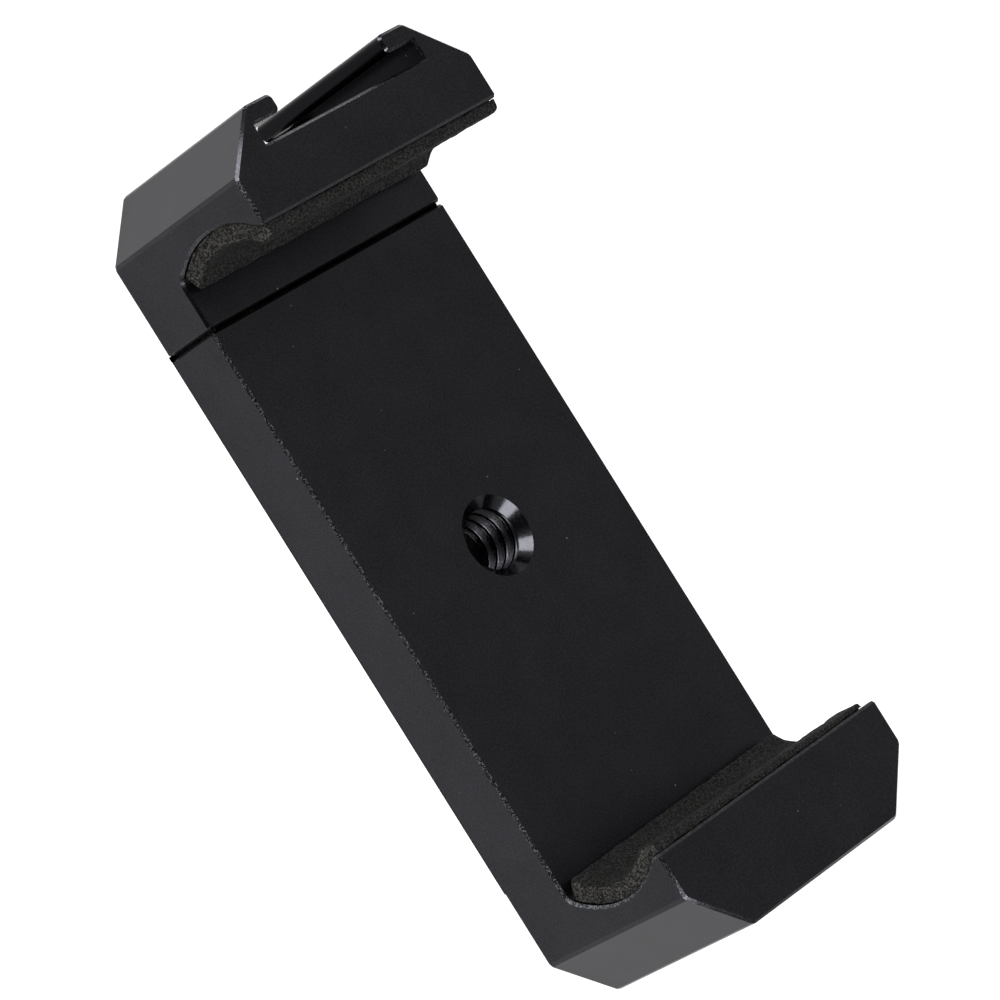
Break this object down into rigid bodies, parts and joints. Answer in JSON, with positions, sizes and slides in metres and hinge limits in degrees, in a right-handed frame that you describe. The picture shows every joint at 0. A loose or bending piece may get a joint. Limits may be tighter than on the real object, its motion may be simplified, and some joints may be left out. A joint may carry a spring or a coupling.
{
  "type": "tripod phone mount adapter",
  "caption": "Spring-loaded phone clamp with two padded jaws, a tripod thread in its back plate and a cold shoe in the end of its sliding jaw.",
  "frame": {"origin": "on the axis of the tripod thread, in the plane of the back face", "axes": "+X along the clamp, from the tripod thread toward the sliding jaw, the way it pulls out; +Y across the clamp, toward the pieces called left; +Z from the back face toward the phone"},
  "size_m": [0.0733, 0.0278, 0.0181],
  "materials": {
    "anodised_aluminium": "fine bead-blasted, black anodised",
    "foam": "matt closed-cell foam, cut edges",
    "rod_steel": "ground and polished",
    "bronze": "sintered bronze",
    "spring_steel": "drawn wire",
    "plated_steel": "zinc plated",
    "black_screw_steel": "black oxide"
  },
  "bodies": {
    "clamp": {"clamp_body": "anodised_aluminium", "fixed_jaw_pad": "foam", "guide_bush_left": "bronze", "guide_bush_right": "bronze", "return_spring_left": "spring_steel", "return_spring_right": "spring_steel"},
    "jaw": {"sliding_jaw": "anodised_aluminium", "sliding_jaw_pad": "foam", "guide_rod_left": "rod_steel", "guide_rod_right": "rod_steel", "spring_washer_left": "plated_steel", "spring_washer_right": "plated_steel", "rod_end_screw_left": "black_screw_steel", "rod_end_screw_right": "black_screw_steel", "grub_screw_left": "black_screw_steel", "grub_screw_right": "black_screw_steel"}
  },
  "joints": [
    {"name": "jaw_slide", "type": "slide", "parent": "clamp", "child": "jaw", "axis": [1, 0, 0], "range_m": [0, 0.028], "stiffness_N_per_m": 655, "springref_m": -0.006, "deforming": ["return_spring_left", "return_spring_right"]}
  ]
}
